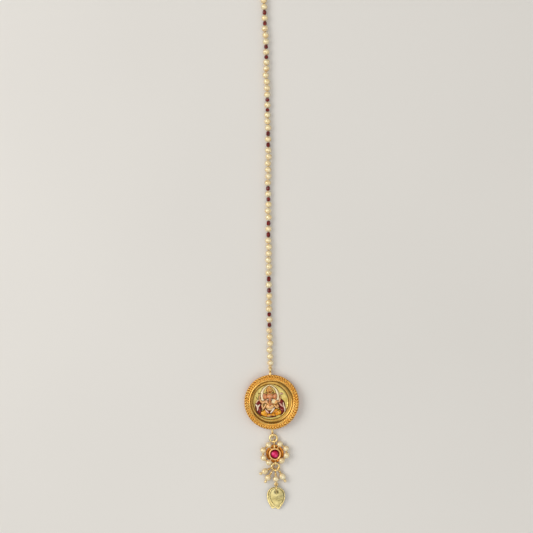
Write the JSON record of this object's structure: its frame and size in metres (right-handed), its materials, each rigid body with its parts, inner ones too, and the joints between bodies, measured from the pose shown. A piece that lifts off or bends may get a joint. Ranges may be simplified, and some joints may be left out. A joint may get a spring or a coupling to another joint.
{
  "type": "maang tikka",
  "caption": "Maang tikka lying flat: pearl and garnet string with a hair hook, round gold medallion with an enamelled deity relief, ruby and pearl flower, pearl drops and leaf drops.",
  "frame": {"origin": "centre of the medallion's flat back, on the surface that the jewel lies on", "axes": "+Z out of the medallion's face, +Y up the pearl string towards the hair hook, +X to the right of the face as seen from the front"},
  "size_m": [0.0203, 0.214, 0.0032],
  "materials": {
    "gold": "polished gold plate, satin on the corded rim",
    "pale_gold": "satin pale gold plate",
    "enamel": "glossy enamel over gilt relief",
    "pearl": "cream pearl with a soft lustre",
    "garnet": "polished dark red stone",
    "ruby": "polished pink-red cabochon"
  },
  "bodies": {
    "root": {"deity_plaque": "enamel", "drop_pearl_left": "pearl", "drop_pearl_lower_left": "pearl", "drop_pearl_right": "pearl", "drop_pin_left": "gold", "drop_pin_lower_left": "gold", "drop_pin_right": "gold", "flower_pearl_1": "pearl", "flower_pearl_2": "pearl", "flower_pearl_3": "pearl", "flower_pearl_4": "pearl", "flower_pearl_5": "pearl", "flower_pearl_6": "pearl", "flower_pearl_7": "pearl", "flower_pearl_8": "pearl", "flower_setting": "gold", "garnet_01": "garnet", "garnet_02": "garnet", "garnet_03": "garnet", "garnet_04": "garnet", "garnet_05": "garnet", "garnet_06": "garnet", "garnet_07": "garnet", "garnet_08": "garnet", "garnet_09": "garnet", "garnet_10": "garnet", "garnet_11": "garnet", "garnet_12": "garnet", "garnet_13": "garnet", "garnet_14": "garnet", "garnet_15": "garnet", "garnet_16": "garnet", "hair_hook": "gold", "jump_ring_lower": "gold", "jump_ring_upper": "gold", "leaf_drop_back": "pale_gold", "leaf_drop_front": "pale_gold", "leaf_ring": "gold", "link_pearl": "pearl", "link_wire": "gold", "medallion_bezel": "gold", "pearl_string_1": "pearl", "pearl_string_2": "pearl", "pearl_string_3": "pearl", "pearl_string_4": "pearl", "pearl_string_5": "pearl", "ruby": "ruby"}
  },
  "joints": []
}
